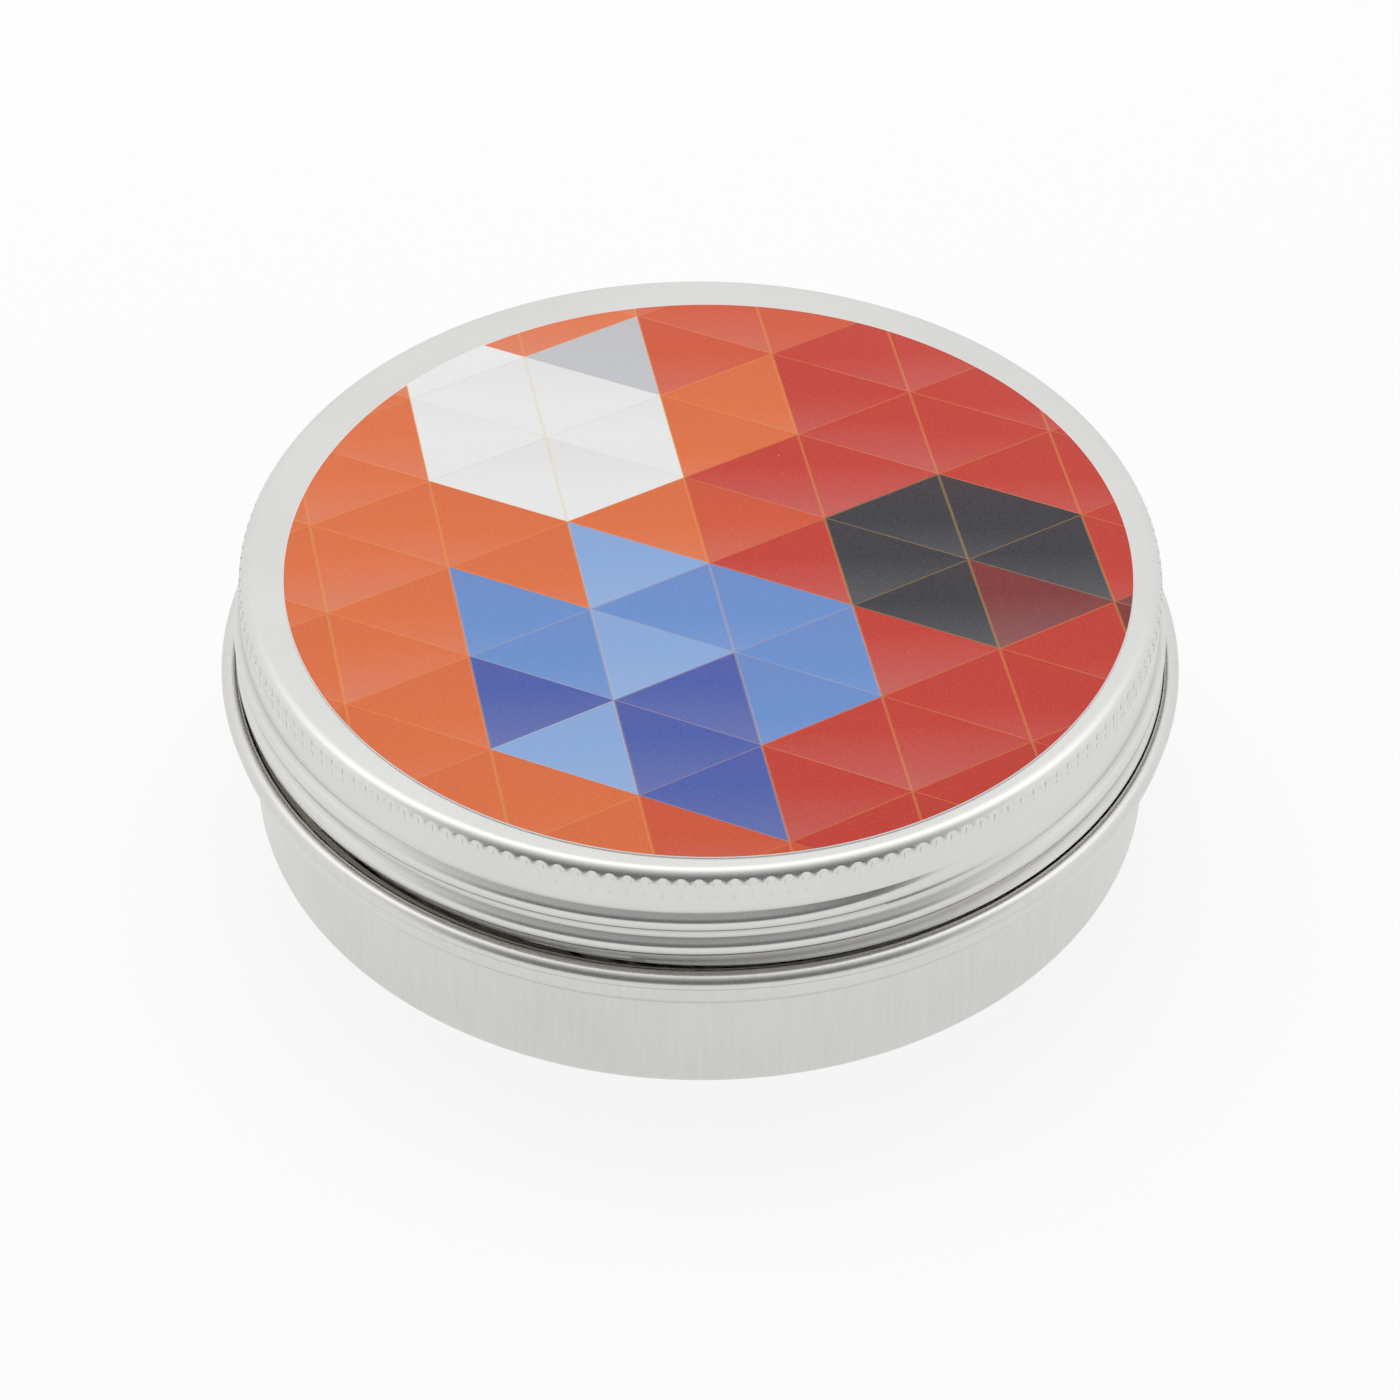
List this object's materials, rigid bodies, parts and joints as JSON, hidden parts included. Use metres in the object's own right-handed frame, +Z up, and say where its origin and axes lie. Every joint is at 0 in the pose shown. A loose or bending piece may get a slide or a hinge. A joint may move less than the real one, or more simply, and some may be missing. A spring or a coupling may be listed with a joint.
{
  "type": "round screw-lid tin",
  "caption": "Shallow round aluminium tin for wax or polish, with a rolled shoulder bead, a threaded neck and a screw lid that has a fluted edge, a foam liner and a round top label.",
  "frame": {"origin": "on the tin's axis, in the plane of the standing ring it rests on", "axes": "+Z up along the tin's axis, which is also the screw axis; -Y is the front that the picture shows"},
  "size_m": [0.0872, 0.0872, 0.0258],
  "materials": {
    "tin_metal": "satin drawn aluminium sheet",
    "wax": "poured solid wax, soft sheen",
    "lid_metal": "satin drawn aluminium sheet",
    "liner_foam": "closed-cell white foam",
    "label_paper": "printed satin paper label"
  },
  "bodies": {
    "base": {"tin_base": "tin_metal", "wax_fill": "wax"},
    "liner": {"lid_liner": "liner_foam"},
    "lid": {"lid_shell": "lid_metal", "top_label": "label_paper"}
  },
  "joints": [
    {"name": "lid_lift", "type": "slide", "parent": "base", "child": "liner", "axis": [0, 0, 1], "range_m": [0, 0.01008]},
    {"name": "lid_turn", "type": "hinge", "parent": "liner", "child": "lid", "pos_m": [0, 0, 0.0257], "axis": [0, 0, 1], "range_deg": [0, 1260]}
  ],
  "couplings": [
    {"joint": "lid_lift", "follows": "lid_turn", "m_per_rad": 0.00045837}
  ]
}
